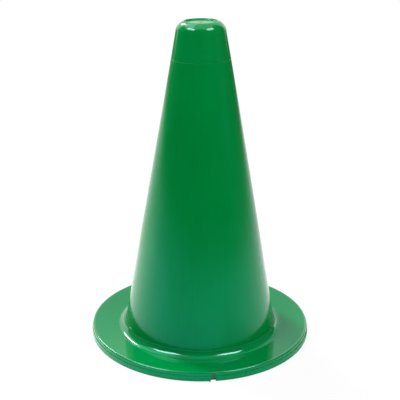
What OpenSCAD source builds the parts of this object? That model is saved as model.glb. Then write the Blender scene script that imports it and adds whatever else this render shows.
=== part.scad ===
// Sports marker cone: a hollow tapered wall with a closed nose, on a wide round foot.
// Each outline is drawn as radius against height and turned about the upright axis.
// The origin is on the floor, in the middle of the base.

/* [Overall] */
// Height from the floor to the top of the nose
cone_h = 305; // [285:1:330]
// Diameter of the base at the floor
base_d = 215; // [208:1:230]

/* [Wall] */
// Outside diameter of the taper, carried down to the floor
taper_base_d = 151.3; // [140:0.1:156]
// Outside diameter of the taper, carried up to the top of the nose
taper_top_d = 42.5; // [40:0.1:60]
// Level thickness of the wall
wall_t = 2.2; // [2:0.1:2.6]
// How far the turned-out foot of the wall reaches past the wall
lip_w = 4; // [3:0.5:5]
// Thickness of the turned-out foot
lip_t = 1.5; // [1.2:0.1:1.6]
// Chamfer of the wall's inside bottom edge
mouth_chamfer = 1; // [0.6:0.1:1.2]

/* [Nose joint] */
// Height of the nose cap above its joint line
nose_h = 33.5; // [30:0.5:45]
// Height of the neck that the nose cap laps over
neck_h = 12; // [9:0.5:15]
// Thickness of the neck
neck_t = 1.4; // [1.1:0.1:1.8]
// Length of wall below the joint over which its inside draws in to the neck
neck_root_h = 7; // [4:0.5:12]
// Bevel on both edges of the joint line
seam_bevel = 0.2; // [0.1:0.05:0.3]
// Radius of the bead round the neck that the nose cap snaps over
bead_r = 0.5; // [0.3:0.05:0.6]

/* [Nose cap] */
// Thickness of the skirt that laps over the neck
skirt_t = 1.3; // [1.2:0.1:1.6]
// Thickness of the cap above the neck
cap_t = 2.8; // [2.6:0.1:3.2]
// Rounding of the top's outer corner
nose_round = 10; // [8:0.5:11]
// Rounding of the top's inner corner
nose_inner_round = 7; // [5:0.5:8]
// Angle up the outer corner's rounding at which the top's dish begins, in degrees
dish_turn = 75; // [68:1:84]
// Depth of the dish
dish_depth = 1.2; // [0.6:0.1:1.6]
// Diameter of the vent hole
vent_d = 3.2; // [2:0.1:5]
// How many plain raised ticks stand in the dish
tick_count = 18; // [8:1:24]
// Height of a tick above the floor of the dish
tick_h = 0.3; // [0.2:0.1:0.5]

/* [Base flange] */
// Height of the rim at its crest
rim_h = 8.6; // [8.2:0.1:10]
// Height of the flange's sloping top, carried in to the taper's radius at the floor
foot_h = 5.4; // [5:0.1:6.4]
// Upright thickness of the flange
flange_t = 2.2; // [1.8:0.1:2.4]
// Rounding of the rim's crest
rim_round = 1.5; // [1:0.1:1.8]
// Level thickness of the rim
rim_t = 3; // [2.9:0.1:3.6]
// Radius of the fillet between the flange and its collar
foot_round = 7.5; // [5:0.5:9]
// Height of the straight collar above the fillet
collar_rise = 0.3; // [0.2:0.1:2]
// Thickness of the collar at its thin edge
collar_t = 0.35; // [0.3:0.05:0.5]
// Thickness of the tongue under the flange
tongue_t = 1.8; // [1.4:0.1:2.2]
// Height of the tongue below the rim's seat
tongue_h = 2.6; // [2:0.1:3]

/* [Base ring] */
// Height of the band that shows below the rim
band_h = 5; // [4.6:0.1:5.4]
// How far the band stands proud of the rim
band_proud = 0.5; // [0.2:0.1:0.8]
// Inward lean of the band from the floor to its top
band_lean = 0.25; // [0:0.05:0.5]
// Rounding of the band's bottom edge
band_round = 0.6; // [0.3:0.1:1]
// How far the ring's hole is wider than the wall's inside, on the radius
hole_step = 0.6; // [0.3:0.1:1.5]
// Width of the flat land under the rim
outer_land_w = 8; // [7.5:0.5:9]
// Width of the flat land under the wall's foot
inner_land_w = 7; // [6.5:0.5:12]
// Depth of the hollow between the two lands
hollow_depth = 1.4; // [0.8:0.1:1.6]
// How many ribs cross the hollow
rib_count = 12; // [6:1:24]
// Width of a rib
rib_w = 2; // [1.2:0.1:4]
// How far the ribs stay clear of the floor
rib_setback = 0.3; // [0.2:0.1:0.6]

/* [Rim notch] */
// Width of the notch in the rim
notch_w = 4.6; // [3:0.1:6]
// Depth of the notch from the band's face
notch_depth = 2.8; // [2:0.1:3]
// Height of the notch's arched top
notch_h = 8.2; // [7.4:0.1:8.3]
// Turn of the notch from the front, in degrees
notch_turn = 6.7; // [0:0.1:45]
// Width of the small nub of flash beside the notch
nub_w = 1.6; // [1:0.1:2.4]
// Height of the nub
nub_h = 1.2; // [0.8:0.1:2]
// How far the nub stands out of the band
nub_proud = 0.8; // [0.4:0.1:0.9]

/* [Fits] */
// Clearance where one piece slides into another
fit_gap = 0.15; // [0.1:0.01:0.2]
// Clearance past the end of a piece in its socket
end_gap = 0.3; // [0.2:0.05:0.5]

/* [Hidden] */

turned_steps = 180;
arc_steps = 12;
bead_steps = 24;
small_hole_steps = 48;
overrun = 1;
cone_green = [0.01, 0.46, 0.22];
nose_green = [0.01, 0.50, 0.25];
flange_green = [0.02, 0.55, 0.28];
ring_green = [0.02, 0.42, 0.24];

// The taper, as an outside radius at any height
taper_base_r = taper_base_d / 2;
taper_top_r = taper_top_d / 2;
taper_rate = (taper_base_r - taper_top_r) / cone_h;
taper_angle = atan(taper_rate);
function wall_r(z) = taper_base_r - taper_rate * z;

// The joint line of the nose, the neck above it and the bead round the neck
seam_z = cone_h - nose_h;
neck_top_z = seam_z + neck_h;
neck_outer_inset = skirt_t + fit_gap;
neck_inner_inset = neck_outer_inset + neck_t;
neck_root_z = seam_z - neck_root_h;
bead_z = seam_z + neck_h / 2;
bead_centre_r = wall_r(bead_z) - neck_outer_inset;

// The nose cap's corner, top plate and dish
corner_z = cone_h - nose_round * sin(dish_turn);
corner_r = wall_r(corner_z) - nose_round / cos(taper_angle);
dish_floor_z = cone_h - dish_depth;
plate_under_z = dish_floor_z - cap_t;
inner_corner_z = plate_under_z - nose_inner_round;
inner_corner_r = wall_r(inner_corner_z) - cap_t - nose_inner_round / cos(taper_angle);
dish_r = corner_r + nose_round * cos(dish_turn);
dish_side_share = 0.94;
dish_floor_r = dish_r * dish_side_share;
tick_inner_share = 0.78;
tick_outer_share = 0.90;
tick_w_share = 0.09;

// The rim's crest and the straight fall of the flange from it
rim_r = base_d / 2 - band_lean - band_proud;
crest_r = rim_r - rim_round;
crest_z = rim_h - rim_round;
slope_run = crest_r - taper_base_r;
slope_rise = crest_z - foot_h;
flange_slope = atan2(slope_rise, slope_run) + asin(rim_round / norm([slope_run, slope_rise]));
flange_fall = tan(flange_slope);
function flange_top(r) = crest_z + rim_round / cos(flange_slope) + flange_fall * (r - crest_r);
function flange_under(r) = flange_top(r) - flange_t;

// The centre of the fillet that touches both the flange and the collar
collar_base_r = taper_base_r + fit_gap + collar_t;
function collar_r(z) = collar_base_r - taper_rate * z;
fillet_reach = collar_base_r + foot_round / cos(taper_angle);
fillet_lift = crest_z + (rim_round + foot_round) / cos(flange_slope) - flange_fall * crest_r;
fillet_r = (fillet_reach - taper_rate * fillet_lift) / (1 + taper_rate * flange_fall);
fillet_z = fillet_lift + flange_fall * fillet_r;
collar_h = fillet_z - foot_round * sin(taper_angle) + collar_rise;

// The bore through the flange, and the height at which it breaks through the underside
bore_base_r = taper_base_r + fit_gap;
function bore_r(z) = bore_base_r - taper_rate * z;
under_at_axis = flange_under(0);
bore_low_r = (bore_base_r - taper_rate * under_at_axis) / (1 + taper_rate * flange_fall);

// The turned-out foot of the wall, just under the flange
function lip_top(r) = flange_under(r) - fit_gap;
function lip_under(r) = lip_top(r) - lip_t;
lip_root_r = (taper_base_r - taper_rate * lip_top(0)) / (1 + taper_rate * flange_fall);
lip_r = lip_root_r + lip_w;
wall_inside_base_r = taper_base_r - wall_t;
function inside_r(z) = wall_inside_base_r - taper_rate * z;
mouth_r = (wall_inside_base_r - taper_rate * lip_under(0)) / (1 + taper_rate * flange_fall);
mouth_z = lip_under(mouth_r);

// The tongue and its groove
rim_inner_r = rim_r - rim_t;
tongue_inner_r = rim_inner_r - tongue_t;
tongue_low_z = band_h - tongue_h;
groove_floor_z = tongue_low_z - end_gap;

// The base ring
band_r = base_d / 2;
band_top_r = band_r - band_lean;
ring_hole_r = wall_inside_base_r + hole_step;
hollow_outer_r = band_r - outer_land_w;
hollow_inner_r = ring_hole_r + inner_land_w;
function ring_top(r) = flange_under(r) - fit_gap;
function ring_seat(r) = lip_under(r) - fit_gap;

// Points on an arc, from one angle to another
function arc(centre_r, centre_z, radius, from, to) = [
    for (i = [0 : arc_steps])
        let (angle = from + (to - from) * i / arc_steps)
        [centre_r + radius * cos(angle), centre_z + radius * sin(angle)]
];

module turned() {
    rotate_extrude($fn = turned_steps) children();
}

// The long tapered wall, its neck at the top and its turned-out foot
module cone_wall() {
    color(cone_green) turned() {
        polygon(concat(
            [[wall_r(lip_top(lip_root_r)), lip_top(lip_root_r)]],
            [[wall_r(seam_z - seam_bevel), seam_z - seam_bevel]],
            [[wall_r(seam_z) - seam_bevel, seam_z]],
            [[wall_r(seam_z) - neck_outer_inset, seam_z]],
            [[wall_r(neck_top_z) - neck_outer_inset, neck_top_z]],
            [[wall_r(neck_top_z) - neck_inner_inset, neck_top_z]],
            [[wall_r(seam_z) - neck_inner_inset, seam_z]],
            [[inside_r(neck_root_z), neck_root_z]],
            [[inside_r(mouth_z + mouth_chamfer), mouth_z + mouth_chamfer]],
            [[mouth_r + mouth_chamfer, lip_under(mouth_r + mouth_chamfer)]],
            [[lip_r, lip_under(lip_r)]],
            [[lip_r, lip_top(lip_r)]]
        ));
        translate([bead_centre_r, bead_z]) circle(r = bead_r, $fn = bead_steps);
    }
}

// The closed nose, which laps over the neck
module nose_cap() {
    color(nose_green) difference() {
        union() {
            difference() {
                turned() nose_outline();
                turned() neck_socket();
            }
            dish_ticks();
        }
        vent_hole();
    }
}

module nose_outline() {
    polygon(concat(
        [[wall_r(seam_z) - seam_bevel, seam_z]],
        [[wall_r(seam_z + seam_bevel), seam_z + seam_bevel]],
        arc(corner_r, corner_z, nose_round, taper_angle, dish_turn),
        [[dish_floor_r, dish_floor_z], [0, dish_floor_z], [0, plate_under_z]],
        arc(inner_corner_r, inner_corner_z, nose_inner_round, 90, taper_angle),
        [[wall_r(seam_z) - cap_t, seam_z]]
    ));
}

// The space that the neck and its bead take up inside the skirt
module neck_socket() {
    socket_top_z = neck_top_z + end_gap;
    polygon([
        [wall_r(seam_z) - skirt_t, seam_z],
        [wall_r(socket_top_z) - skirt_t, socket_top_z],
        [wall_r(socket_top_z) - cap_t - overrun, socket_top_z],
        [wall_r(seam_z) - cap_t - overrun, seam_z]
    ]);
    translate([bead_centre_r, bead_z]) circle(r = bead_r + fit_gap, $fn = bead_steps);
}

module dish_ticks() {
    tick_length = dish_r * (tick_outer_share - tick_inner_share);
    tick_w = dish_r * tick_w_share;
    for (i = [0 : tick_count - 1])
        rotate([0, 0, 360 * i / tick_count])
            translate([dish_r * tick_inner_share, -tick_w / 2, dish_floor_z - tick_h])
                cube([tick_length, tick_w, 2 * tick_h]);
}

module vent_hole() {
    translate([0, 0, plate_under_z - overrun])
        cylinder(d = vent_d, h = cap_t + dish_depth + 2 * overrun, $fn = small_hole_steps);
}

// The wide foot, with a thin collar that hugs the wall and a tongue underneath
module base_flange() {
    color(flange_green) difference() {
        turned() polygon(concat(
            [[rim_r, band_h]],
            arc(crest_r, crest_z, rim_round, 0, 90 + flange_slope),
            arc(fillet_r, fillet_z, foot_round, 270 + flange_slope, 180 + taper_angle),
            [[collar_r(collar_h), collar_h], [bore_r(collar_h), collar_h]],
            [[bore_low_r, flange_under(bore_low_r)]],
            [[tongue_inner_r, flange_under(tongue_inner_r)]],
            [[tongue_inner_r, tongue_low_z], [rim_inner_r, tongue_low_z], [rim_inner_r, band_h]]
        ));
        rim_notch();
    }
}

// The weight of the cone and the ring that it stands on
module base_ring() {
    color(ring_green) difference() {
        union() {
            turned() ring_outline();
            hollow_ribs();
            flash_nub();
        }
        rim_notch();
    }
}

module ring_outline() {
    groove_inner_r = tongue_inner_r - fit_gap;
    groove_outer_r = rim_inner_r + fit_gap;
    step_r = lip_r + end_gap;
    polygon(concat(
        [[ring_hole_r, 0], [hollow_inner_r, 0], [hollow_inner_r, hollow_depth]],
        [[hollow_outer_r, hollow_depth], [hollow_outer_r, 0]],
        arc(band_r - band_round, band_round, band_round, 270, 360),
        [[band_top_r, band_h], [groove_outer_r, band_h], [groove_outer_r, groove_floor_z]],
        [[groove_inner_r, groove_floor_z], [groove_inner_r, ring_top(groove_inner_r)]],
        [[step_r, ring_top(step_r)], [step_r, ring_seat(step_r)]],
        [[ring_hole_r, ring_seat(ring_hole_r)]]
    ));
}

module hollow_ribs() {
    rib_length = hollow_outer_r - hollow_inner_r + 2 * overrun;
    for (i = [0 : rib_count - 1])
        rotate([0, 0, 360 * i / rib_count])
            translate([hollow_inner_r - overrun, -rib_w / 2, rib_setback])
                cube([rib_length, rib_w, hollow_depth]);
}

// A thin nub of flash at the notch's left edge, down at the floor
module flash_nub() {
    rotate([0, 0, notch_turn - 90])
        translate([band_r - band_round - nub_w, -notch_w / 2 - nub_w, band_round / 2])
            cube([nub_w + band_round + nub_proud, nub_w + overrun, nub_h]);
}

// One arched notch, cut through the rim and the band below it
module rim_notch() {
    arch_r = notch_w / 2;
    arch_z = notch_h - arch_r;
    rotate([0, 0, notch_turn - 90])
        translate([band_r - notch_depth, 0, 0]) {
            translate([0, -arch_r, -overrun])
                cube([notch_depth + overrun, notch_w, arch_z + overrun]);
            translate([0, 0, arch_z])
                rotate([0, 90, 0])
                    cylinder(r = arch_r, h = notch_depth + overrun, $fn = small_hole_steps);
        }
}

cone_wall();
nose_cap();
base_flange();
base_ring();
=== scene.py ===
# %% [markdown]
# # A moulded marker cone
# This notebook dresses a green sports marker cone. Its four pieces come packed as a fixed frame: the long
# tapered wall, the nose cap on top of it, the wide round flange at its foot, and the ring underneath that the
# cone stands on. Here each piece gets a fine mesh of its own and a glossy vinyl finish, and the set gets a
# table, lamps and a camera. Everything is in metres, +Z is up, and the origin is on the floor, in the middle
# of the base. The camera looks from the -Y side, so +X is on its right.

# %% Load the frame
import math

import bmesh
import bpy
from mathutils import Matrix, Vector


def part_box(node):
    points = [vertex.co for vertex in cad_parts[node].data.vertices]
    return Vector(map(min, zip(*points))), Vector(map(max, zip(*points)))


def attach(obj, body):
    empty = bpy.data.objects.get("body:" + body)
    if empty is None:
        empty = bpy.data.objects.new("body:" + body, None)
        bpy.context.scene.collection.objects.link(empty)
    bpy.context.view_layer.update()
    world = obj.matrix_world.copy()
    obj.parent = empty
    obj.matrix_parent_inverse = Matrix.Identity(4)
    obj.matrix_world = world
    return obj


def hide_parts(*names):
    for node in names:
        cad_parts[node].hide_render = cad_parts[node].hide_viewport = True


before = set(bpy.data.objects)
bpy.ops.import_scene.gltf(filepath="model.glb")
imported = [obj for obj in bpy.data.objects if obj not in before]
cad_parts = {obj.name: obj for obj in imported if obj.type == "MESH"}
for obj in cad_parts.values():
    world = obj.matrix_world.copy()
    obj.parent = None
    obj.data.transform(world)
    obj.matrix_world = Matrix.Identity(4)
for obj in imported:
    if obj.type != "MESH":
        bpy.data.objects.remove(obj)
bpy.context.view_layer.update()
print("CAD nodes:", sorted(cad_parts))

# %% [markdown]
# ## Sizes
# A cone like this is turned: every piece is one outline, drawn as radius against height, and spun about the
# upright axis. So the few sizes below say almost everything. Heights and the outer radius are read from the
# frame, which keeps this script in step with the construction. The rest are written in millimetres, as a
# mould maker would write them.

# %% Driving sizes
MM = 0.001

cone_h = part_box("nose_cap")[1].z
seam_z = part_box("nose_cap")[0].z
band_h = 5.0 * MM
band_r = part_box("base_ring")[1].x
rim_h = 8.6 * MM
collar_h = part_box("base_flange")[1].z

taper_base_r = 75.65 * MM
taper_top_r = 21.25 * MM
wall_t = 2.2 * MM
fit_gap = 0.15 * MM
end_gap = 0.3 * MM

taper_rate = (taper_base_r - taper_top_r) / cone_h
taper_angle = math.atan(taper_rate)


def wall_r(z):
    """Outside radius of the taper at height z."""
    return taper_base_r - taper_rate * z


print(f"height {cone_h / MM:.1f} mm, base {2 * band_r / MM:.1f} mm, nose seam at {seam_z / MM:.1f} mm")
print(f"rim crest at {rim_h / MM:.1f} mm, collar to {collar_h / MM:.1f} mm")

# %% [markdown]
# ## A lathe in mesh code
# Blender can spin an outline with a Screw modifier. Here the lathe is written out with bmesh instead, because
# it is only a few lines, and because it lets an outline be split where the surface later has to bend. Each
# outline is a closed loop of (radius, height) points that runs up the outside and back down the inside, so
# each piece is a closed shell with a real wall thickness.

# %% The lathe
TURN_STEPS = 288
SMALL_ARC = 8
MEDIUM_ARC = 16
LARGE_ARC = 24


def arc(centre_r, centre_z, radius, start, end, steps=MEDIUM_ARC):
    """Points on an arc of an outline. Angles are in radians, from the outward level line."""
    angles = [start + (end - start) * i / steps for i in range(steps + 1)]
    return [(centre_r + radius * math.cos(a), centre_z + radius * math.sin(a)) for a in angles]


def divide(outline, longest):
    """The same closed outline, with extra points wherever a straight run is longer than longest."""
    points = []
    for (r0, z0), (r1, z1) in zip(outline, outline[1:] + outline[:1]):
        parts = max(1, math.ceil(math.hypot(r1 - r0, z1 - z0) / longest))
        points += [(r0 + (r1 - r0) * i / parts, z0 + (z1 - z0) * i / parts) for i in range(parts)]
    return points


def join_rings(mesh, pairs):
    """Faces between the two closed rings of each pair. The rings have matching vertices."""
    for here, there in pairs:
        for a, b in zip(range(len(here)), [*range(1, len(here)), 0]):
            mesh.faces.new((here[a], there[a], there[b], here[b]))


def spin(outline, steps=TURN_STEPS):
    """A bmesh of the closed outline, turned about the upright axis."""
    mesh = bmesh.new()
    rings = []
    for i in range(steps):
        c, s = math.cos(2 * math.pi * i / steps), math.sin(2 * math.pi * i / steps)
        rings.append([mesh.verts.new((r * c, r * s, z)) for r, z in outline])
    join_rings(mesh, zip(rings, rings[1:] + rings[:1]))
    bmesh.ops.recalc_face_normals(mesh, faces=mesh.faces)
    return mesh


print("one turn has", TURN_STEPS, "steps, so the rim departs from a true circle by",
      f"{band_r * (1 - math.cos(math.pi / TURN_STEPS)) / MM:.4f} mm")

# %% [markdown]
# ## From bmesh to a finished piece
# A moulded piece has broad smooth faces and small crisp edges side by side. Smooth shading alone would bend
# the reflections on the broad faces near every small edge. So edges over a limit angle are marked sharp, and
# a Weighted Normal modifier lets the largest face at each corner decide the shading, which keeps the
# reflections straight.

# %% Finishing a piece
SHARP_ANGLE = math.radians(30)


def object_from(name, mesh):
    """A new object in the scene, made from a bmesh, which is freed."""
    data = bpy.data.meshes.new(name)
    mesh.to_mesh(data)
    mesh.free()
    made = bpy.data.objects.new(name, data)
    bpy.context.scene.collection.objects.link(made)
    return made


def piece(name, mesh, cad_node, material):
    """A shown object made from a bmesh. It rides on the one body and stands for its CAD node."""
    made = object_from(name, mesh)
    made.data.shade_smooth()
    made.data.set_sharp_from_angle(angle=SHARP_ANGLE)
    weighted = made.modifiers.new("even_shading", "WEIGHTED_NORMAL")
    weighted.mode = "FACE_AREA"
    weighted.keep_sharp = True
    made.data.materials.append(material)
    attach(made, "root")
    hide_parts(cad_node)
    print(f"{name}: {len(made.data.vertices)} vertices, {len(made.data.polygons)} faces")


print(f"edges over {math.degrees(SHARP_ANGLE):.0f} degrees stay crisp")

# %% [markdown]
# ## Shader maths as expressions
# A shader is easier to read as arithmetic than as a list of links. This small class wraps one output socket.
# Adding, subtracting or multiplying puts the Math node in for us, so that `1 - mask` is a mask turned round.
# `step` and `mix` make the two nodes that are used most, and `node` makes any other from its type, its
# settings and what goes into its sockets.

# %% The socket wrapper


class Value:
    """An output socket of a node tree, with arithmetic."""

    def __init__(self, tree, socket):
        self.tree = tree
        self.socket = socket

    def beside(self, name):
        """Another output of the same node."""
        return Value(self.tree, self.socket.node.outputs[name])

    def math(self, operation, *others):
        """A Math node with this value first."""
        values = dict(enumerate([self, *others]))
        return node(self.tree, "ShaderNodeMath", {"operation": operation}, values)

    def __add__(self, other):
        return self.math("ADD", other)

    def __radd__(self, other):
        return node(self.tree, "ShaderNodeMath", {"operation": "ADD"}, {0: other, 1: self})

    def __sub__(self, other):
        return self.math("SUBTRACT", other)

    def __rsub__(self, other):
        return node(self.tree, "ShaderNodeMath", {"operation": "SUBTRACT"}, {0: other, 1: self})

    def __mul__(self, other):
        return self.math("MULTIPLY", other)

    def __rmul__(self, other):
        return node(self.tree, "ShaderNodeMath", {"operation": "MULTIPLY"}, {0: other, 1: self})

    def step(self, low, high):
        """0 below low, 1 above high, and a smooth rise between them."""
        settings = {"interpolation_type": "SMOOTHSTEP"}
        values = {"Value": self, "From Min": low, "From Max": high}
        return node(self.tree, "ShaderNodeMapRange", settings, values)

    def mix(self, first, second):
        """The first colour where this is 0, the second where it is 1."""
        settings = {"data_type": "RGBA"}
        return node(self.tree, "ShaderNodeMix", settings, {0: self, 6: first, 7: second}, out=2)


def fill(made, values):
    """Gives each named socket of a node a number, a colour or a link."""
    for name, value in values.items():
        if isinstance(value, Value):
            value.tree.links.new(value.socket, made.inputs[name])
        else:
            made.inputs[name].default_value = value


def node(tree, kind, settings=None, values=None, out=0):
    """A new node: its settings first, then its sockets. Gives one output back, if the node has any."""
    made = tree.nodes.new(kind)
    for name, setting in (settings or {}).items():
        setattr(made, name, setting)
    fill(made, values or {})
    return Value(tree, made.outputs[out]) if made.outputs else None


def components(vector):
    """The x, y and z of a vector, as three values."""
    x = node(vector.tree, "ShaderNodeSeparateXYZ", values={0: vector})
    return x, x.beside("Y"), x.beside("Z")


def object_place(tree):
    """The point's own place on the object, in metres."""
    return node(tree, "ShaderNodeTexCoord", out=3)


def from_axis(place):
    """Distance of a place from the upright axis."""
    x, y, _ = components(place)
    return (x * x + y * y).math("SQRT")


print("besides arithmetic, a Value has", ", ".join(name for name in vars(Value) if name[0] != "_"))

# %% [markdown]
# ## The vinyl
# The real cone is glossy soft vinyl, coloured right through in a deep, saturated green. Seen closely it isn't
# flat: the melt leaves faint upright streaks along its flow, the shade drifts a little from place to place,
# and
# a few dark specks are caught in it. The outer face of the base is also a shade paler. That is painted light:
# light bounced up onto it from the white paper. A picture wrapped round the cone could show all this, but it
# would need unwrapping and would leave a seam. Noise that is read at the point's own place on the object has
# no seam, and it stays put in every view and in the export.

# %% Streaks, drift and specks
FLOW_TURN = 9.0
FLOW_RISE = 6.0
FLOW_SCALE = 3.0
FLOW_DETAIL = 4.0
FLOW_ROUGHNESS = 0.6
DRIFT_SCALE = 14.0
DRIFT_DETAIL = 2.0
DRIFT_STRENGTH = 0.9
SPECK_CELLS = 48.0
SPECK_SIZE = 0.012, 0.024
SPECK_CHANCE = 0.90, 0.92
SPECK_STRENGTH = 0.55
SPECK_GREEN = (0.0, 0.03, 0.01, 1.0)
# Painted light: the outer face of the base is painted paler, standing in for light bounced up from the white
# paper.
PAINTED_BOUNCE_FADE = 106.2 * MM, 106.7 * MM
PAINTED_BOUNCE_GREEN = (0.0, 0.190, 0.046, 1.0)


def noise(place, scale, detail, roughness=0.5):
    """Soft noise read at a place. scale is in lumps to the metre, and detail adds finer ones."""
    values = {"Vector": place, "Scale": scale, "Detail": detail, "Roughness": roughness}
    return node(place.tree, "ShaderNodeTexNoise", values=values)


def flow_streaks(place):
    """Noise that is close together round the axis and long along it."""
    x, y, z = components(place)
    turn = y.math("ARCTAN2", x)
    flow = node(place.tree, "ShaderNodeCombineXYZ", values={0: turn * FLOW_TURN, 1: z * FLOW_RISE})
    return noise(flow, FLOW_SCALE, FLOW_DETAIL, FLOW_ROUGHNESS)


def specks(place):
    """The middles of a few large cells, each about half a millimetre across."""
    values = {"Vector": place, "Scale": SPECK_CELLS}
    distance = node(place.tree, "ShaderNodeTexVoronoi", {"feature": "F1"}, values)
    chance = node(place.tree, "ShaderNodeSeparateColor", values={0: distance.beside("Color")})
    return (1 - distance.step(*SPECK_SIZE)) * chance.step(*SPECK_CHANCE)


def green(place, streaks, streak_strength, deep, pale):
    """The vinyl's colour at a place: between deep and pale, with the base's outer face painted paler as
    bounced light, and the specks on top.
    """
    drift = noise(place, DRIFT_SCALE, DRIFT_DETAIL)
    shade = (streaks - 0.5) * streak_strength + (drift - 0.5) * DRIFT_STRENGTH + 0.5
    colour = shade.step(0.0, 1.0).mix(deep, pale)
    # Painted light: past this radius the base's outer face is painted paler, for light bounced up from the
    # paper.
    colour = from_axis(place).step(*PAINTED_BOUNCE_FADE).mix(colour, PAINTED_BOUNCE_GREEN)
    return (specks(place) * SPECK_STRENGTH).mix(colour, SPECK_GREEN)


print(f"{2 * math.pi * FLOW_TURN * FLOW_SCALE:.0f} streaks in a turn,",
      f"each about {1 / (FLOW_RISE * FLOW_SCALE) / MM:.0f} mm long")

# %% [markdown]
# The gloss differs from place to place as well. Specular Tint sets the colour of what the surface reflects
# straight back. This green is so saturated that a weak white reflection would wash it out, so the tint holds
# the red back, and only strong reflections and those at a grazing angle are white. Three narrow places shine
# more than the rest: the nose's corner, the fillet at the foot, and the crest of the rim. There Coat lays a
# clear layer over the vinyl, which reflects without the tint. Right at the front the base shines less, so it
# has none there. Separate materials would need the faces split where the shine ends, and would end it hard.
# Masks made from heights and radii need no split, and let it fade.

# %% Where the coat lies
CORNER_START = cone_h - 7.0 * MM, cone_h - 5.0 * MM
CORNER_END = cone_h - 2.4 * MM, cone_h - 1.2 * MM
CORNER_INNER = 12.6 * MM, 13.6 * MM
FOOT_END = 79.5 * MM, 81.5 * MM
FOOT_TOP = 9.4 * MM, 10.4 * MM
FOOT_LOW = 7.3 * MM, 7.9 * MM
FOOT_FRONT = -64.0 * MM, -54.0 * MM
WORN_FRONT = 5.0 * MM, 16.0 * MM
CREST_START = 104.2 * MM, 104.8 * MM
CREST_END = 106.4 * MM, 106.7 * MM
NOSE_COAT = 0.45
BASE_COAT = 1.0


def coat(place):
    """How much clear coat lies at a place."""
    x, _, z = components(place)
    radius = from_axis(place)
    corner = z.step(*CORNER_START) * (1 - z.step(*CORNER_END)) * radius.step(*CORNER_INNER)
    # Low down, only the far left of the foot is coated.
    dull = x.step(*FOOT_FRONT) * (1 - z.step(*FOOT_LOW))
    foot = (1 - radius.step(*FOOT_END)) * (1 - z.step(*FOOT_TOP)) * (1 - dull)
    crest = radius.step(*CREST_START) * (1 - radius.step(*CREST_END))
    sides = x.math("ABSOLUTE").step(*WORN_FRONT)
    return corner * NOSE_COAT + (foot + crest) * sides * BASE_COAT


print(f"coat on the nose from {CORNER_START[0] / MM:.0f} to {CORNER_END[1] / MM:.1f} mm high,",
      f"at the foot up to {FOOT_TOP[1] / MM:.1f} mm, and on the rim from {CREST_START[0] / MM:.1f} mm out")

# %% [markdown]
# Light scuffs dull the gloss a little, and the skin has a very low orange peel, which a Bump node is enough
# for: it is far too fine to be seen in the outline. Each of the four pieces gets its own pair of greens, its
# own gloss, and its own share of red in its reflections. The flange's greens are bluer than the wall's, which
# is a painted reflection. The ring's greens are paler and bluer, which is painted light bounced up from the
# white paper.

# %% The vinyl material
SCUFF_SCALE = 55.0
SCUFF_DETAIL = 5.0
SCUFF_FADE = 0.45, 0.75
SCUFF_DULLING = 0.05
PEEL_SCALE = 160.0
PEEL_DETAIL = 2.0
PEEL_SHARE = 0.6
STREAK_SHARE = 0.4
RELIEF_STRENGTH = 0.05
RELIEF_HEIGHT = 0.4 * MM
COAT_ROUGHNESS = 0.08
VINYL_IOR = 1.5
TINT_BLUE = 0.95


def vinyl(name, deep, pale, roughness, streak_strength, red):
    """A glossy moulded vinyl. deep and pale end its slight drift in shade, red warms its reflections."""
    material = bpy.data.materials.new(name)
    material.use_nodes = True
    tree = material.node_tree
    place = object_place(tree)
    streaks = flow_streaks(place)
    scuffs = noise(place, SCUFF_SCALE, SCUFF_DETAIL)
    relief = noise(place, PEEL_SCALE, PEEL_DETAIL) * PEEL_SHARE + streaks * STREAK_SHARE
    bump = {"Strength": RELIEF_STRENGTH, "Distance": RELIEF_HEIGHT, "Height": relief}
    fill(tree.nodes["Principled BSDF"], {
        "Base Color": green(place, streaks, streak_strength, deep, pale),
        "Roughness": scuffs.step(*SCUFF_FADE) * SCUFF_DULLING + roughness,
        "Coat Weight": coat(place),
        "Coat Roughness": COAT_ROUGHNESS,
        "Normal": node(tree, "ShaderNodeBump", values=bump),
        "IOR": VINYL_IOR,
        "Specular Tint": (red, 1.0, TINT_BLUE, 1.0),
    })
    print(f"{name}: {len(tree.nodes)} nodes")
    return material


wall_vinyl = vinyl("green_vinyl", (0.0, 0.134, 0.022, 1.0), (0.0, 0.160, 0.029, 1.0),
                   roughness=0.14, streak_strength=0.7, red=0.08)
nose_vinyl = vinyl("green_vinyl_nose", (0.0, 0.138, 0.024, 1.0), (0.0, 0.164, 0.032, 1.0),
                   roughness=0.12, streak_strength=0.7, red=0.35)
# The flange's greens are bluer than the wall's: a painted reflection on top of the vinyl's own green.
flange_vinyl = vinyl("green_vinyl_flange", (0.0, 0.136, 0.029, 1.0), (0.0, 0.162, 0.037, 1.0),
                     roughness=0.06, streak_strength=0.7, red=0.12)
# The ring's greens are paler and bluer than the wall's: painted light bounced up from the paper, on top of
# the vinyl's own green.
ring_vinyl = vinyl("green_ring_vinyl", (0.0, 0.142, 0.034, 1.0), (0.0, 0.166, 0.041, 1.0),
                   roughness=0.17, streak_strength=0.4, red=0.10)

# %% [markdown]
# ## The wall
# The wall is the long taper. At the top its inside draws in to a thinner neck with a snap bead, which the
# nose cap laps over. At the bottom it turns out into a narrow lip that the flange and the ring trap between
# them. A cone primitive with a Solidify modifier would give the taper, but neither the neck nor the lip, so
# the whole section is drawn as one outline. Most of it is hidden, but it is modelled all the same, because a
# cone can be picked up and looked into.

# %% Heights and radii shared by the joints
flange_t = 2.2 * MM
foot_h = 5.4 * MM
rim_round = 1.5 * MM
rim_t = 3.0 * MM
band_lean = 0.25 * MM
band_proud = 0.5 * MM
lip_w = 4.0 * MM
lip_t = 1.5 * MM

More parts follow.
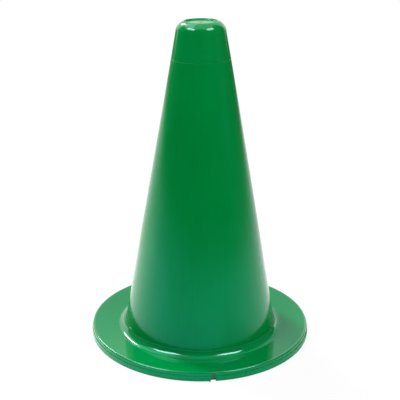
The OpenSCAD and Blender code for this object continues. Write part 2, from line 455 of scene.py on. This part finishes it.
rim_r = band_r - band_lean - band_proud
crest_r = rim_r - rim_round
crest_z = rim_h - rim_round
slope_run = crest_r - taper_base_r
slope_rise = crest_z - foot_h
flange_slope = (math.atan2(slope_rise, slope_run)
                + math.asin(rim_round / math.hypot(slope_run, slope_rise)))
flange_fall = math.tan(flange_slope)


def flange_top(r):
    """Height of the flange's sloping top at radius r."""
    return crest_z + rim_round / math.cos(flange_slope) + flange_fall * (r - crest_r)


def flange_under(r):
    """Height of the flange's underside."""
    return flange_top(r) - flange_t


def lip_top(r):
    """Height of the top of the wall's lip."""
    return flange_under(r) - fit_gap


def lip_under(r):
    """Height of the underside of the wall's lip."""
    return lip_top(r) - lip_t


lip_root_r = (taper_base_r - taper_rate * lip_top(0)) / (1 + taper_rate * flange_fall)
lip_r = lip_root_r + lip_w
print(f"the flange's top falls {math.degrees(flange_slope):.1f} degrees towards the wall")

# %% [markdown]
# A mould leaves a fine witness line where two parts of it meet. Along its top edge, just under the cap, the
# wall carries one that stands a sixth of a millimetre proud. A bump would draw it too, but would be lost in
# the exported mesh, so the line is a small ridge in the outline. The lamps above pick it out as a thin pale
# line round the cone.

# %% Outline of the wall
neck_h = 12.0 * MM
neck_t = 1.4 * MM
neck_root_h = 7.0 * MM
skirt_t = 1.3 * MM
bead_r = 0.5 * MM
witness_h = 0.5 * MM
witness_proud = 0.165 * MM
mouth_chamfer = 1.0 * MM
WALL_LONGEST = 6 * MM

neck_top_z = seam_z + neck_h
neck_outer = skirt_t + fit_gap
neck_inner = neck_outer + neck_t
bead_z = seam_z + neck_h / 2
inside_base_r = taper_base_r - wall_t
mouth_r = (inside_base_r - taper_rate * lip_under(0)) / (1 + taper_rate * flange_fall)


def inside_r(z):
    """Inside radius of the wall at height z."""
    return inside_base_r - taper_rate * z


wall_outline = [
    (wall_r(lip_top(lip_root_r)), lip_top(lip_root_r)),
    (wall_r(seam_z - witness_h), seam_z - witness_h),
    (wall_r(seam_z) + witness_proud, seam_z - witness_h + witness_proud),
    (wall_r(seam_z), seam_z),
    (wall_r(seam_z) - neck_outer, seam_z),
    *arc(wall_r(bead_z) - neck_outer, bead_z, bead_r, -math.pi / 2, math.pi / 2, SMALL_ARC),
    (wall_r(neck_top_z) - neck_outer, neck_top_z),
    (wall_r(neck_top_z) - neck_inner, neck_top_z),
    (wall_r(seam_z) - neck_inner, seam_z),
    (inside_r(seam_z - neck_root_h), seam_z - neck_root_h),
    (inside_r(lip_under(mouth_r) + mouth_chamfer), lip_under(mouth_r) + mouth_chamfer),
    (mouth_r + mouth_chamfer, lip_under(mouth_r + mouth_chamfer)),
    (lip_r, lip_under(lip_r)),
    (lip_r, lip_top(lip_r)),
]
print(len(wall_outline), "points, divided into", len(divide(wall_outline, WALL_LONGEST)))

# %% [markdown]
# Soft vinyl takes a slight set while it cools: near the top the real cone leans a hair to one side, and its
# top isn't quite level. `settle` bends a mesh by an angle that grows smoothly from nothing, so the wall and
# the cap bend as one and their seam stays closed. The angle grows as the square of the height, so the lean,
# which adds up the angles below it, is a third of height times angle.

# %% The slight set of the upper cone
SET_FROM = 0.55 * cone_h
SET_ANGLE = math.radians(0.8)


def settle(mesh):
    """Leans the upper part of a bmesh towards -X, by an angle that grows with height."""
    for v in mesh.verts:
        share = max(0.0, (v.co.z - SET_FROM) / (cone_h - SET_FROM))
        angle = SET_ANGLE * share * share
        height = v.co.z - SET_FROM
        v.co.x, v.co.z = (v.co.x - height * math.sin(angle) / 3,
                          v.co.z + (v.co.x - taper_top_r) * math.sin(angle))


wall = spin(divide(wall_outline, WALL_LONGEST))
settle(wall)
piece("cone_wall_skin", wall, "cone_wall", wall_vinyl)

# %% [markdown]
# ## The nose cap
# The cap closes the cone. Its outer corner is a generous round, and a wide, shallow dish is sunk in its top,
# so wide that it begins on the round itself and leaves no flat. The dish has a small vent hole in the middle,
# and plain raised ticks round its edge, where a mould often has its marks. The cap is spun like the wall. The
# ticks can't be, so they are small blocks, sunk halfway into the dish's floor, and need no cutting.

# %% Outline of the nose cap
nose_round = 10.0 * MM
nose_inner_round = 7.0 * MM
cap_t = 2.8 * MM
DISH_TURN = math.radians(75)
DISH_FLOOR_SHARE = 0.94
dish_depth = 1.2 * MM
vent_r = 1.6 * MM
seam_bevel = 0.1 * MM
NOSE_LONGEST = 3 * MM

corner_z = cone_h - nose_round * math.sin(DISH_TURN)
corner_r = wall_r(corner_z) - nose_round / math.cos(taper_angle)
dish_r = corner_r + nose_round * math.cos(DISH_TURN)
dish_floor_r = DISH_FLOOR_SHARE * dish_r
dish_floor_z = cone_h - dish_depth
plate_under_z = dish_floor_z - cap_t
inner_corner_z = plate_under_z - nose_inner_round
inner_corner_r = wall_r(inner_corner_z) - cap_t - nose_inner_round / math.cos(taper_angle)
socket_top_z = neck_top_z + end_gap
bead_seat_r = bead_r + fit_gap

nose_outline = [
    (wall_r(seam_z) - seam_bevel, seam_z),
    (wall_r(seam_z + seam_bevel), seam_z + seam_bevel),
    *arc(corner_r, corner_z, nose_round, taper_angle, DISH_TURN, LARGE_ARC),
    (dish_floor_r, dish_floor_z),
    (vent_r, dish_floor_z),
    (vent_r, plate_under_z),
    *arc(inner_corner_r, inner_corner_z, nose_inner_round, math.pi / 2, taper_angle, MEDIUM_ARC),
    (wall_r(socket_top_z) - cap_t, socket_top_z),
    (wall_r(socket_top_z) - skirt_t, socket_top_z),
    *arc(wall_r(bead_z) - neck_outer, bead_z, bead_seat_r, math.pi / 3, -math.pi / 3, SMALL_ARC),
    (wall_r(seam_z) - skirt_t, seam_z),
]
print(f"{len(nose_outline)} points, dish {2 * dish_r / MM:.1f} mm across")

# %% Ticks in the dish
TICK_COUNT = 18
TICK_REACH = 0.78, 0.90
tick_h = 0.3 * MM
tick_w = 1.4 * MM
tick_inner_r, tick_outer_r = (share * dish_r for share in TICK_REACH)


def block(mesh, size, place, turn):
    """A box added to a bmesh: its size, the middle of it, and its turn about the upright axis."""
    made = bmesh.ops.create_cube(mesh, size=1.0)["verts"]
    shape = Matrix.Diagonal((*size, 1.0))
    move = Matrix.Rotation(turn, 4, "Z") @ Matrix.Translation(place)
    bmesh.ops.transform(mesh, verts=made, matrix=move @ shape)


nose = spin(divide(nose_outline, NOSE_LONGEST))
for i in range(TICK_COUNT):
    block(nose, (tick_outer_r - tick_inner_r, tick_w, 2 * tick_h),
          ((tick_inner_r + tick_outer_r) / 2, 0, dish_floor_z), 2 * math.pi * i / TICK_COUNT)
settle(nose)
piece("nose_cap_skin", nose, "nose_cap", nose_vinyl)

# %% [markdown]
# ## The flange
# The flange's top isn't level: it falls gently from the rim towards the wall, which is why it mirrors the
# wall so clearly. A wide concave fillet turns it up into a thin collar that hugs the wall. Underneath, a
# tongue reaches down into the ring's groove. A Bevel modifier could round these corners, but the highlights
# at the foot and the rim stand or fall with their radii, so both arcs are worked out: each one touches the
# sloping top and the line next to it.

# %% Outline of the flange
foot_round = 7.5 * MM
collar_t = 0.35 * MM
tongue_t = 1.8 * MM
tongue_h = 2.6 * MM
FLANGE_LONGEST = 3 * MM

bore_base_r = taper_base_r + fit_gap
collar_base_r = bore_base_r + collar_t
fillet_reach = collar_base_r + foot_round / math.cos(taper_angle)
fillet_lift = crest_z + (rim_round + foot_round) / math.cos(flange_slope) - flange_fall * crest_r
fillet_r = (fillet_reach - taper_rate * fillet_lift) / (1 + taper_rate * flange_fall)
fillet_z = fillet_lift + flange_fall * fillet_r
bore_low_r = (bore_base_r - taper_rate * flange_under(0)) / (1 + taper_rate * flange_fall)
rim_inner_r = rim_r - rim_t
tongue_inner_r = rim_inner_r - tongue_t
tongue_low_z = band_h - tongue_h

flange_outline = [
    (rim_r, band_h),
    *arc(crest_r, crest_z, rim_round, 0, math.pi / 2 + flange_slope),
    *arc(fillet_r, fillet_z, foot_round, 3 * math.pi / 2 + flange_slope, math.pi + taper_angle),
    (collar_base_r - taper_rate * collar_h, collar_h),
    (bore_base_r - taper_rate * collar_h, collar_h),
    (bore_low_r, flange_under(bore_low_r)),
    (tongue_inner_r, flange_under(tongue_inner_r)),
    (tongue_inner_r, tongue_low_z),
    (rim_inner_r, tongue_low_z),
    (rim_inner_r, band_h),
]
print(f"{len(flange_outline)} points, fillet centred {fillet_r / MM:.1f} mm out,",
      f"{fillet_z / MM:.1f} mm up")

# %% [markdown]
# ## The notch in the rim
# One small arched notch is cut up through the ring and the rim, a little to the right of the front. It is cut
# with a Boolean modifier, and the cutter is a loft: the arch keeps its width through the rim and opens out
# where it leaves the face, so the notch gets the fine bevelled lips that catch the light.

# %% The notch's cutter
NOTCH_TURN = math.radians(6.7 - 90)
notch_w = 4.6 * MM
notch_depth = 2.8 * MM
notch_h = 8.2 * MM
notch_lip = 0.3 * MM
overrun = 1.0 * MM
ARCH_STEPS = 24


def arch(along, widen):
    """Points of the arched outline at a distance from the axis, made wider all round by widen."""
    half = notch_w / 2 + widen
    top_z = notch_h - notch_w / 2
    round_part = [math.pi * i / ARCH_STEPS for i in range(ARCH_STEPS + 1)]
    points = [(half * math.cos(a), top_z + half * math.sin(a)) for a in round_part]
    return [Vector((along, y, z)) for y, z in [*points, (-half, -overrun), (half, -overrun)]]


def notch_cutter():
    """A closed loft through four arches, turned to its place in the rim."""
    sections = [arch(band_r - notch_depth, 0), arch(rim_r - notch_lip, 0),
                arch(band_r, notch_lip), arch(band_r + overrun, notch_lip)]
    mesh = bmesh.new()
    rings = [[mesh.verts.new(p) for p in section] for section in sections]
    join_rings(mesh, zip(rings, rings[1:]))
    mesh.faces.new(rings[0])
    mesh.faces.new(rings[-1])
    bmesh.ops.recalc_face_normals(mesh, faces=mesh.faces)
    turn = Matrix.Rotation(NOTCH_TURN, 3, "Z")
    bmesh.ops.rotate(mesh, verts=mesh.verts, cent=(0, 0, 0), matrix=turn)
    return mesh


print(f"notch {notch_w / MM:.1f} mm wide and {notch_h / MM:.1f} mm high")

# %% Cutting and joining


def combined(mesh, other, operation):
    """A new bmesh: the first one with the other cut out of it or joined to it."""
    first, second = object_from("for_boolean", mesh), object_from("for_boolean", other)
    cut = first.modifiers.new("cut", "BOOLEAN")
    cut.operation = operation
    cut.solver = "EXACT"
    cut.object = second
    bpy.context.view_layer.update()
    result = bmesh.new()
    result.from_object(first, bpy.context.evaluated_depsgraph_get())
    for used in (first, second):
        bpy.data.objects.remove(used)
    return result


flange = combined(spin(divide(flange_outline, FLANGE_LONGEST)), notch_cutter(), "DIFFERENCE")
piece("base_flange_skin", flange, "base_flange", flange_vinyl)

# %% [markdown]
# ## The base ring
# The ring is the cone's ballast. Its outer band stands half a millimetre proud of the rim above it, which
# leaves a fine step all the way round. On its underside two flat lands touch the floor, with a shallow hollow
# and ribs between them. A small nub of flash stands beside the notch. The ribs and the nub are blocks again,
# joined with a Boolean this time, so that the notch can be cut through one closed shell.

# %% Outline of the ring
band_round = 0.6 * MM
hole_step = 0.6 * MM
outer_land_w = 8.0 * MM
inner_land_w = 7.0 * MM
hollow_depth = 1.4 * MM
RING_LONGEST = 4 * MM

ring_hole_r = inside_base_r + hole_step
hollow_outer_r = band_r - outer_land_w
hollow_inner_r = ring_hole_r + inner_land_w
groove_inner_r = tongue_inner_r - fit_gap
groove_outer_r = rim_inner_r + fit_gap
groove_floor_z = tongue_low_z - end_gap
step_r = lip_r + end_gap


def ring_top(r):
    """Height of the ring's top, under the flange."""
    return flange_under(r) - fit_gap


def ring_seat(r):
    """Height of the ring's seat, under the wall's lip."""
    return lip_under(r) - fit_gap


ring_outline = [
    (ring_hole_r, 0),
    (hollow_inner_r, 0),
    (hollow_inner_r, hollow_depth),
    (hollow_outer_r, hollow_depth),
    (hollow_outer_r, 0),
    *arc(band_r - band_round, band_round, band_round, -math.pi / 2, 0, SMALL_ARC),
    (band_r - band_lean, band_h),
    (groove_outer_r, band_h),
    (groove_outer_r, groove_floor_z),
    (groove_inner_r, groove_floor_z),
    (groove_inner_r, ring_top(groove_inner_r)),
    (step_r, ring_top(step_r)),
    (step_r, ring_seat(step_r)),
    (ring_hole_r, ring_seat(ring_hole_r)),
]
print(f"{len(ring_outline)} points, hole {2 * ring_hole_r / MM:.1f} mm across")

# %% Ribs, nub and the finished ring
RIB_COUNT = 12
rib_w = 2.0 * MM
rib_setback = 0.3 * MM
rib_reach = 1.0 * MM
nub_w = 1.6 * MM
nub_h = 1.2 * MM
nub_proud = 0.8 * MM
nub_reach = 1.0 * MM

extras = bmesh.new()
rib_length = hollow_outer_r - hollow_inner_r + 2 * rib_reach
rib_middle = (hollow_outer_r + hollow_inner_r) / 2
for i in range(RIB_COUNT):
    block(extras, (rib_length, rib_w, hollow_depth),
          (rib_middle, 0, rib_setback + hollow_depth / 2), 2 * math.pi * i / RIB_COUNT)
nub_inner = band_r - band_round - nub_w
nub_outer = band_r + nub_proud
nub_side = -notch_w / 2 - (nub_w - nub_reach) / 2
block(extras, (nub_outer - nub_inner, nub_w + nub_reach, nub_h),
      ((nub_outer + nub_inner) / 2, nub_side, band_round / 2 + nub_h / 2), NOTCH_TURN)

ring = combined(spin(divide(ring_outline, RING_LONGEST)), extras, "UNION")
ring = combined(ring, notch_cutter(), "DIFFERENCE")
piece("base_ring_skin", ring, "base_ring", ring_vinyl)

# %% [markdown]
# ## The camera
# The view was worked out from the cone's outline: a long lens, a little above the cone and looking down at it
# by twenty degrees. The camera is rolled by a third of a degree, so the cone leans a hair to the right. A
# Track To constraint could aim it, but would undo the roll, so its matrix is written out instead.

# %% The camera
CAMERA_DISTANCE = 0.81367
CAMERA_HEIGHT = 0.43009
CAMERA_PITCH = 0.3492
CAMERA_ROLL = 0.0057
SENSOR_WIDTH = 36.0
FOCAL_IN_FRAME_WIDTHS = 904.15 / 400
HALF_PIXEL = 0.5 / 400

camera_data = bpy.data.cameras.new("camera")
camera_data.sensor_width = SENSOR_WIDTH
camera_data.lens = FOCAL_IN_FRAME_WIDTHS * SENSOR_WIDTH
camera_data.shift_x = -HALF_PIXEL
camera_data.shift_y = HALF_PIXEL
camera = bpy.data.objects.new("camera", camera_data)
bpy.context.scene.collection.objects.link(camera)
tilt = Matrix.Rotation(math.pi / 2 - CAMERA_PITCH, 4, "X")
camera.matrix_world = (Matrix.Translation((0, -CAMERA_DISTANCE, CAMERA_HEIGHT))
                       @ tilt @ Matrix.Rotation(CAMERA_ROLL, 4, "Z"))
bpy.context.scene.camera = camera
print(f"lens {camera_data.lens:.2f} mm, looking down by {math.degrees(CAMERA_PITCH):.1f} degrees")

# %% [markdown]
# ## The table
# The cone stands on a sheet of white paper that lies on a grey floor. Both are one large disc, because two
# sheets would show an edge where they meet. Masks made from the point's place say where the paper is and how
# it fades out.

# %% The table
FLOOR_R = 6.0
FLOOR_STEPS = 96

disc = bmesh.new()
bmesh.ops.create_circle(disc, cap_ends=True, segments=FLOOR_STEPS, radius=FLOOR_R)
table = object_from("table", disc)
print(f"table {2 * FLOOR_R:.0f} m across")

# %% [markdown]
# Three kinds of ray are told apart with the Light Path node. Rays that carry light from surface to surface
# meet real paper, which throws the lamps' light back up on the cone. It is whitest on the left and greyer
# towards the front, the right and the back. The greyer parts are painted shade, where the cone catches less
# light from below. To the camera the table is plain white, apart from a trace of the cone's shadow. A
# reflection sees the lit paper near the cone and plain white further off, so the gloss mirrors the same white
# table that the camera sees.

# %% The table's finish
WHITE = (1.0, 1.0, 1.0, 1.0)
# The paper's greys below the left's white are painted shade, standing in for less light on the table.
PAPER_LEFT = 0.86
PAPER_NEAR = 0.62
PAPER_BACK = 0.50
FLOOR_GREY = 0.16
LEFT_FADE = -1.80, -0.90
RIGHT_FADE = 0.30, 0.95
FRONT_FADE = -1.90, -0.90
FAR_FADE = 0.85, 1.50
BACK_FADE = 0.00, 0.35
NEAR_FADE = -0.15, 0.20
NEAR_SLANT = 0.8
SHADOW_SHARE = 0.15
SHADOW_FADE = 0.15, 0.45
MIRROR_FADE = 0.60, 1.00


def grey(level):
    """A colour with the same red, green and blue."""
    return (level, level, level, 1.0)


def ray_kinds(tree):
    """Three values: 1 for a ray from the camera, for a mirrored ray, and for one through something clear."""
    path = node(tree, "ShaderNodeLightPath")
    return [path.beside(name) for name in ("Is Camera Ray", "Is Glossy Ray", "Is Transmission Ray")]


table_material = bpy.data.materials.new("table_white")
table_material.use_nodes = True
tree = table_material.node_tree
tree.nodes.clear()
place = object_place(tree)
x, y, _ = components(place)
inside = x.step(*LEFT_FADE) * (1 - x.step(*RIGHT_FADE))
inside = inside * y.step(*FRONT_FADE) * (1 - y.step(*FAR_FADE))
# Painted shade: the paper is greyer towards the front, the right and the back than on the left.
paper = (x * NEAR_SLANT - y).step(*NEAR_FADE).mix(grey(PAPER_LEFT), grey(PAPER_NEAR))
paper = y.step(*BACK_FADE).mix(paper, grey(PAPER_BACK))
lit = node(tree, "ShaderNodeBsdfDiffuse", values={"Color": inside.mix(grey(FLOOR_GREY), paper)})
plain = node(tree, "ShaderNodeEmission", values={"Color": WHITE, "Strength": 1.0})
radius = from_axis(place)
shadow = (1 - radius.step(*SHADOW_FADE)) * SHADOW_SHARE
apart = radius.step(*MIRROR_FADE) * inside
camera_ray, mirrored, through = ray_kinds(tree)
white_share = camera_ray * (1 - shadow) + (mirrored + through) * apart
surface = node(tree, "ShaderNodeMixShader", values={0: white_share, 1: lit, 2: plain})
node(tree, "ShaderNodeOutputMaterial", values={"Surface": surface})
table.data.materials.append(table_material)
print(f"{table_material.name}: {len(tree.nodes)} nodes")

# %% [markdown]
# ## The world
# The world works the same way. The camera and the reflections see it white, while it adds only a little light
# of its own, because the lamps light the cone.

# %% The world
ROOM_LIGHT = 0.05

world = bpy.data.worlds.new("studio")
bpy.context.scene.world = world
world.use_nodes = True
tree = world.node_tree
tree.nodes.clear()
room = node(tree, "ShaderNodeBackground", values={"Color": WHITE, "Strength": ROOM_LIGHT})
white = node(tree, "ShaderNodeBackground", values={"Color": WHITE, "Strength": 1.0})
camera_ray, mirrored, through = ray_kinds(tree)
seen = camera_ray + mirrored + through
surface = node(tree, "ShaderNodeMixShader", values={0: seen, 1: room, 2: white})
node(tree, "ShaderNodeOutputWorld", values={"Surface": surface})
print(f"{world.name}: {len(tree.nodes)} nodes")

# %% [markdown]
# ## The screen
# A white world would show as white all over a glossy cone. A photographer keeps the colour deep with black
# flags: cloth screens that the surface mirrors in place of the white room. One tall curved screen stands
# round the front and both sides, outside the lamps, and leaves only the back open, where the white edge
# lines come from.

# %% The screen
SCREEN_R = 2.4
SCREEN_H = 4.0
SCREEN_LEFT, SCREEN_RIGHT = -125, 135
SCREEN_STEPS = 60
WEAVE_SCALE = 30.0
WEAVE_DETAIL = 2.0
CLOTH_DARK = 0.03
CLOTH_PALE = 0.05
CLOTH_ROUGHNESS = 0.9

sheet = bmesh.new()
uprights = []
for i in range(SCREEN_STEPS + 1):
    a = math.radians(SCREEN_LEFT + (SCREEN_RIGHT - SCREEN_LEFT) * i / SCREEN_STEPS)
    stand = (SCREEN_R * math.sin(a), -SCREEN_R * math.cos(a))
    uprights.append([sheet.verts.new((*stand, height)) for height in (0.0, SCREEN_H)])
for here, there in zip(uprights, uprights[1:]):
    sheet.faces.new((here[0], there[0], there[1], here[1]))
screen = object_from("screen", sheet)
screen.visible_camera = False

cloth = bpy.data.materials.new("screen_cloth")
cloth.use_nodes = True
tree = cloth.node_tree
weave = node(tree, "ShaderNodeTexNoise", values={"Scale": WEAVE_SCALE, "Detail": WEAVE_DETAIL})
fill(tree.nodes["Principled BSDF"],
     {"Base Color": weave.mix(grey(CLOTH_DARK), grey(CLOTH_PALE)), "Roughness": CLOTH_ROUGHNESS})
screen.data.materials.append(cloth)
print(f"screen {SCREEN_H:.0f} m high, from {SCREEN_LEFT} to {SCREEN_RIGHT} degrees round")

# %% [markdown]
# ## Lamps
# The lamps are of two kinds. Four are mirrored in the gloss and draw its highlights. A tall narrow one behind
# the cone, on the left, is the strongest and draws the bright edge. Two softboxes in front, left and right,
# give the pairs of highlights on the nose and the foot. A broad, weak one on the left softens that side. The
# other five light the colour and leave no highlight, as a white wall far off would: a wash beside the strong
# lamp, which also throws the soft shadow across the flange, and four small fills round the cone. All are area
# lamps: their size sets how soft a shadow is, and the mirrored ones show in the gloss as plain rectangles.

# %% The lamps
LAMP_AIM = Vector((0, 0, 0.1))
LAMPS = [
    # name, azimuth, elevation, distance, width, height, radiance, mirrored
    ("key_back_left", -149, 36.2, 2.6, 0.26, 0.62, 27, True),
    ("key_wash", -138, 40, 2.6, 0.45, 1.00, 60, False),
    ("softbox_left", -62, 51, 2.2, 1.20, 0.60, 9.5, True),
    ("softbox_right", 57, 52, 2.2, 1.05, 0.62, 9.5, True),
    ("nose_fill", 0, 90, 0.7, 0.3, 0.3, 3.0, False),
    ("front_fill", 35, 28, 1.0, 0.4, 0.3, 6.5, False),
    ("fill_left", -45, 72, 0.70, 0.3, 0.3, 5.2, False),
    ("bounce_left", -115, 60, 2.4, 2.2, 1.2, 1.7, True),
    ("reflector_right", 75, 14, 0.9, 0.4, 0.4, 5.0, False),
]


def lamp(name, azimuth, elevation, distance, width, height, radiance, mirrored):
    """A softbox aimed at the cone. Azimuth is in degrees from the camera's side, towards +X."""
    a, e = math.radians(azimuth), math.radians(elevation)
    back = Vector((math.sin(a) * math.cos(e), -math.cos(a) * math.cos(e), math.sin(e)))
    data = bpy.data.lights.new(name, "AREA")
    data.shape = "RECTANGLE"
    data.size = width
    data.size_y = height
    data.energy = math.pi * width * height * radiance
    made = bpy.data.objects.new(name, data)
    made.location = LAMP_AIM + back * distance
    made.rotation_mode = "QUATERNION"
    made.rotation_quaternion = back.to_track_quat("Z", "Y")
    made.visible_camera = False
    made.visible_glossy = mirrored
    bpy.context.scene.collection.objects.link(made)
    print(f"{name}: {data.energy:.1f} W, {width} x {height} m")


for row in LAMPS:
    lamp(*row)

# %% [markdown] ## Finish The view transform is Standard, so a colour shows as it is written.

# %% Finish
bpy.context.scene.view_settings.view_transform = "Standard"
